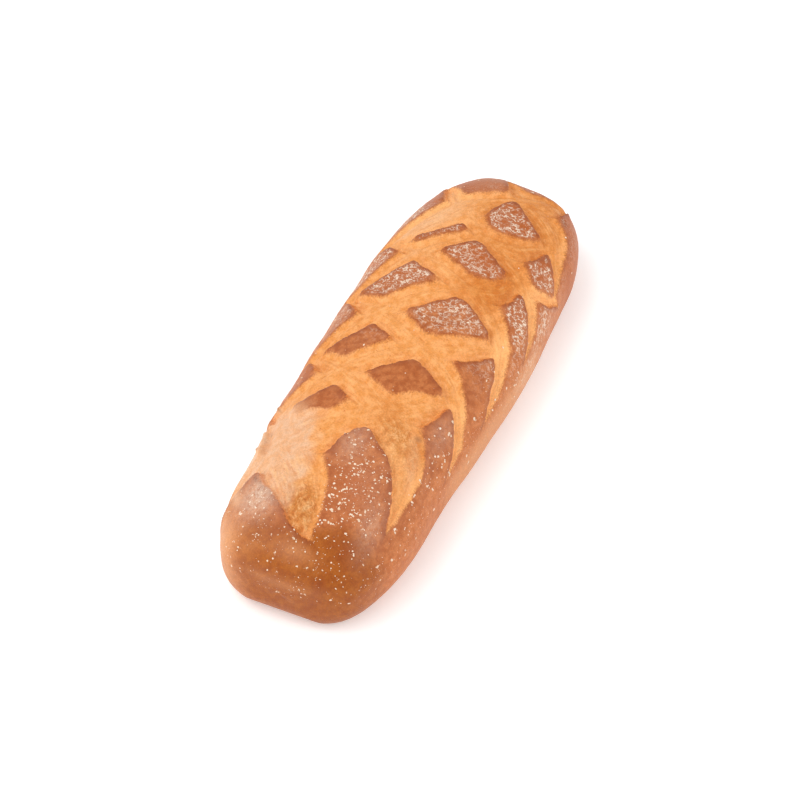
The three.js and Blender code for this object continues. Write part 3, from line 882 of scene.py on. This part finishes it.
def make_crust_grain():
    """The fine grain of the surface, as a height in millimetres, and how rough it is."""
    names = ["opened", "fibres", "rough", "amber", "dust"]
    inputs = dict(place="Vector", **{name: "Float" for name in names})
    outputs = dict(height="Float", roughness="Float")
    group, given, result = start_group("Crust grain", inputs, outputs)
    grains = {
        "pitted": grain_noise(group, given["place"], scale=0.9, detail=5, roughness=0.65),
        "tiny": grain_noise(group, given["place"], scale=2.6, roughness=0.6),
        "fibres": given["fibres"],
    }

    def heights(sizes):
        total = 0.0
        for name, size in sizes.items():
            total = add_up(group, weigh(group, grains[name], size), total)
        return total

    coarse = weigh(group, heights(ROUGH_GRAIN), given["rough"])
    torn = add_up(group, heights(TORN_GRAIN), coarse)
    height = add_node(group, "Mix", {0: given["opened"], 2: heights(SKIN_GRAIN), 3: torn})[0]
    height = add_up(group, height, weigh(group, given["dust"], DUST_GRAIN))
    rough = spread(group, given["opened"], SKIN_ROUGHNESS, TORN_ROUGHNESS)
    rough = calculate(group, "SUBTRACT", rough, weigh(group, given["amber"], AMBER_GLOSS))
    rough = add_up(group, rough, weigh(group, given["dust"], DUST_ROUGHNESS))
    group.links.new(height, result["height"])
    group.links.new(rough, result["roughness"])
    return group


def place_group(tree, group, sockets):
    """Places a node group and joins its inputs. Gives its outputs."""
    made = tree.nodes.new("ShaderNodeGroup")
    made.node_tree = group
    for socket, value in sockets.items():
        tree.links.new(value, made.inputs[socket])
    return made.outputs


CRUST_SHINE = 0.25
CRUST_BUMP = 0.8
crust_finish = bpy.data.materials.new("baked crust")
crust_finish.use_nodes = True
crust_tree = crust_finish.node_tree
crust_shader = crust_tree.nodes["Principled BSDF"]
crust_shader.inputs["Specular IOR Level"].default_value = CRUST_SHINE
in_metres = crust_tree.nodes.new("ShaderNodeTexCoord").outputs["Object"]
sockets = {0: in_metres, "Scale": 1 / MM}
in_millimetres = add_node(crust_tree, "VectorMath", sockets, operation="SCALE")[0]


def read_marks(names, output="Fac"):
    """What was stored on the crust under each name."""
    read = {}
    for name in names:
        read[name] = add_node(crust_tree, "Attribute", {}, attribute_name=name)[output]
    return read


runs = read_marks(["left_fibre", "right_fibre"], output="Vector")
sockets = {**runs, **read_marks(["left_share"])}
fibres = place_group(crust_tree, make_fibres(), sockets)["fibres"]
sockets = {"place": in_millimetres, "fibres": fibres, **read_marks(PLATE_MARKS + GROOVE_MARKS)}
baked = place_group(crust_tree, make_baked_colour_and_painted_light(), sockets)
sockets = {"place": in_millimetres, **read_marks(["haze", "rubbed", "flank"])}
dust = place_group(crust_tree, make_flour_dust(), sockets)["dust"]
sockets = {"opened": baked["opened"], "fibres": fibres, "dust": dust, **read_marks(["rough", "amber"])}
grain = place_group(crust_tree, make_crust_grain(), {"place": in_millimetres, **sockets})

floured = mix_colours(crust_tree, dust, baked["colour"], FLOUR)
sockets = {"Height": grain["height"], "Strength": CRUST_BUMP, "Distance": MM}
bump = add_node(crust_tree, "Bump", sockets)["Normal"]
crust_tree.links.new(floured, crust_shader.inputs["Base Color"])
crust_tree.links.new(grain["roughness"], crust_shader.inputs["Roughness"])
crust_tree.links.new(bump, crust_shader.inputs["Normal"])
crust_mesh.materials.append(crust_finish)

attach(loaf_crust, "root")
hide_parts("loaf")

# --------------------------------------------------------------------------
# The flour grains. Coarse dusting flour clung to the proved dough in small clumps, thickest on
# the blunt end and the plate behind it. Each grain is a low crumb stuck to the crust.
# --------------------------------------------------------------------------
GRAINS = 1100
GRAIN_DRAW_SEED = 11
BIG_GRAIN_SHARE = 0.35
BIG_GRAIN_RADIUS = 0.85
FINE_GRAIN_RADIUS = 0.42
GRAIN_SIZES = (0.6, 1.35)
CAP_GRAIN_SIZE = 0.7
GRAIN_FLATNESS = 0.4
MOST_LUMPS = 3
LUMP_SPREAD = 0.55
LUMP_SIZES = (0.6, 1)
CORNER_SIZES = (0.75, 1.2)
# How likely a grain is at each place: most in these spots, less low on the front half's sides
# and anywhere else on the plates, and hardly at all in a groove.
GRAIN_SPOTS = [
    dict(share=1.1, x=-150, g=-27, along=42, across=22, turn=0.2),
    dict(share=0.5, x=-212, g=-4, along=12, across=42),
    dict(share=0.5, x=-84, g=-68, along=30, across=11, turn=0.1),
    dict(share=0.4, x=-190, g=34, along=16, across=18),
]
SIDE_GRAINS = dict(share=0.12, before=40, down=66)
GRAINS_ANYWHERE = 0.02
GRAINS_LOST_IN_GROOVES = 0.97
GRAIN_CLUSTERS = (-0.5, 0.9)
GRAINS_OUTSIDE_CLUSTERS = 0.35
draw = np.random.default_rng(GRAIN_DRAW_SEED)


def crumb_shape():
    """The corners and faces of a twenty-sided crumb with a radius of one."""
    wide = (1 + math.sqrt(5)) / 2
    corners = []
    for first in (-1, 1):
        for second in (-wide, wide):
            corners += [(0, first, second), (first, second, 0), (second, 0, first)]
    corners = np.array(corners) / math.hypot(1, wide)
    longest = 2 / math.hypot(1, wide) * 1.01
    faces = []
    for a, b, c in itertools.combinations(range(len(corners)), 3):
        sides = [np.linalg.norm(corners[p] - corners[q]) for p, q in ((a, b), (b, c), (a, c))]
        if max(sides) < longest:
            facing = np.cross(corners[b] - corners[a], corners[c] - corners[a])
            faces.append((a, b, c) if np.dot(facing, corners[a]) > 0 else (a, c, b))
    return corners, np.array(faces)


top_index = np.arange(STATIONS)[:, None] * COLUMNS + np.arange(TOP_COLUMNS + 1)
on_low_side = (top_x < SIDE_GRAINS["before"]) * (to_side > SIDE_GRAINS["down"])
grain_chance = patches(GRAIN_SPOTS) + SIDE_GRAINS["share"] * on_low_side + GRAINS_ANYWHERE
grain_chance = grain_chance * (1 - GRAINS_LOST_IN_GROOVES * opened)
clusters = smooth_step(*GRAIN_CLUSTERS, top_noise(lump=7, seed=41))
grain_chance = grain_chance * (GRAINS_OUTSIDE_CLUSTERS + clusters)
grain_chance = (grain_chance / grain_chance.sum()).ravel()
crumb_corners, crumb_faces = crumb_shape()
grain_points = []
grain_faces = []
for place in draw.choice(top_index.size, GRAINS, p=grain_chance):
    station, column_at = divmod(int(place), TOP_COLUMNS + 1)
    at = points[top_index[station, column_at]]
    up = outward[station, column_at]
    forward = np.cross(up, (0, 1, 0.3))
    forward /= np.linalg.norm(forward)
    aside = np.cross(up, forward)
    is_big = draw.random() < BIG_GRAIN_SHARE
    radius = (BIG_GRAIN_RADIUS if is_big else FINE_GRAIN_RADIUS) * draw.uniform(*GRAIN_SIZES)
    radius *= CAP_GRAIN_SIZE if at[0] < CAP_EDGE else 1
    lumps = int(draw.integers(1, MOST_LUMPS + 1)) if is_big else 1
    for _ in range(lumps):
        offset = draw.normal(0, LUMP_SPREAD * radius, 2) * (lumps > 1)
        uneven = draw.uniform(*CORNER_SIZES, (len(crumb_corners), 1))
        shape = crumb_corners * uneven * radius * draw.uniform(*LUMP_SIZES)
        flat = shape[:, 2:3] * GRAIN_FLATNESS
        centre = at + offset[0] * forward + offset[1] * aside
        grain_faces.append(crumb_faces + len(crumb_corners) * len(grain_points))
        grain_points.append(centre + shape[:, :1] * forward + shape[:, 1:2] * aside + flat * up)

grain_corners = (np.concatenate(grain_points) * MM).tolist()
grain_mesh = bpy.data.meshes.new("flour_grains")
grain_mesh.from_pydata(grain_corners, [], np.concatenate(grain_faces).tolist())
flour_grains = bpy.data.objects.new("flour_grains", grain_mesh)
bpy.context.scene.collection.objects.link(flour_grains)

FLOUR_MOTTLES_PER_METRE = 250.0
FLOUR_ROUGHNESS = 0.9
flour_finish = bpy.data.materials.new("dusting flour")
flour_finish.use_nodes = True
flour_tree = flour_finish.node_tree
flour_place = flour_tree.nodes.new("ShaderNodeTexCoord").outputs["Object"]
flour_tone = grain_noise(flour_tree, flour_place, FLOUR_MOTTLES_PER_METRE, detail=2)
flour_mottle = ramp(flour_tree, flour_tone, 0.35, 0.65)
flour_colour = mix_colours(flour_tree, flour_mottle, FLOUR_IN_SHADE, FLOUR)
flour_shader = flour_tree.nodes["Principled BSDF"]
flour_shader.inputs["Roughness"].default_value = FLOUR_ROUGHNESS
flour_tree.links.new(flour_colour, flour_shader.inputs["Base Color"])
grain_mesh.materials.append(flour_finish)
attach(flour_grains, "root")

# --------------------------------------------------------------------------
# The table, the lights and the camera: a plain white table that glows softly, three broad soft
# lights, and a view down onto the blunt end of the loaf.
# --------------------------------------------------------------------------
TABLE_SIZE = 6.0
TABLE_WHITE = (0.95, 0.95, 0.95, 1)
TABLE_ROUGHNESS = 0.9
TABLE_GLOW = 0.22
WHITE = (1, 1, 1, 1)
half = TABLE_SIZE / 2
table_corners = [(-half, -half, 0), (half, -half, 0), (half, half, 0), (-half, half, 0)]
table_mesh = bpy.data.meshes.new("table_top")
table_mesh.from_pydata(table_corners, [], [(0, 1, 2, 3)])
table_top = bpy.data.objects.new("table_top", table_mesh)
bpy.context.scene.collection.objects.link(table_top)
table_finish = bpy.data.materials.new("white table")
table_finish.use_nodes = True
table_shader = table_finish.node_tree.nodes["Principled BSDF"]
table_shader.inputs["Base Color"].default_value = TABLE_WHITE
table_shader.inputs["Roughness"].default_value = TABLE_ROUGHNESS
table_shader.inputs["Emission Color"].default_value = WHITE
table_shader.inputs["Emission Strength"].default_value = TABLE_GLOW
table_mesh.materials.append(table_finish)

# Each light: the direction that it shines from, its distance and size in metres, and its power.
LIGHTS = {
    "window_light": dict(towards=(-0.2, 0.5, 0.9), distance=1.8, size=1.4, power=13),
    "front_light": dict(towards=(-0.9, 0.35, 0.75), distance=2.0, size=1.2, power=8),
    "right_light": dict(towards=(0.2, -0.95, 0.5), distance=2.0, size=1.4, power=12),
}
WINDOW_TINT = (1.0, 0.985, 0.96)
ROOM_LIGHT = 0.72
for name, given in LIGHTS.items():
    lamp = bpy.data.lights.new(name, "AREA")
    lamp.size = given["size"]
    lamp.energy = given["power"]
    light = bpy.data.objects.new(name, lamp)
    direction = Vector(given["towards"]).normalized()
    light.location = direction * given["distance"]
    light.rotation_mode = "QUATERNION"
    light.rotation_quaternion = direction.to_track_quat("Z", "Y")
    bpy.context.scene.collection.objects.link(light)
bpy.data.lights["window_light"].color = WINDOW_TINT

room = bpy.data.worlds.new("white room")
room.use_nodes = True
room.node_tree.nodes["Background"].inputs["Color"].default_value = WHITE
room.node_tree.nodes["Background"].inputs["Strength"].default_value = ROOM_LIGHT
bpy.context.scene.world = room
bpy.context.scene.view_settings.view_transform = "Standard"

CAMERA_AZIMUTH = math.radians(-65.8)
CAMERA_ELEVATION = math.radians(46)
CAMERA_DISTANCE = 2.0
CAMERA_TARGET = Vector((-0.0265, -0.0035, 0.04))
CAMERA_LENS = 118.1
CAMERA_SENSOR = 36
level = math.cos(CAMERA_ELEVATION)
back_along = Vector(
    (
        math.sin(CAMERA_AZIMUTH) * level,
        -math.cos(CAMERA_AZIMUTH) * level,
        math.sin(CAMERA_ELEVATION),
    )
)
camera = bpy.data.objects.new("camera", bpy.data.cameras.new("camera"))
camera.data.lens = CAMERA_LENS
camera.data.sensor_width = CAMERA_SENSOR
camera.location = CAMERA_TARGET + back_along * CAMERA_DISTANCE
camera.rotation_mode = "QUATERNION"
camera.rotation_quaternion = back_along.to_track_quat("Z", "Y")
bpy.context.scene.collection.objects.link(camera)
bpy.context.scene.camera = camera
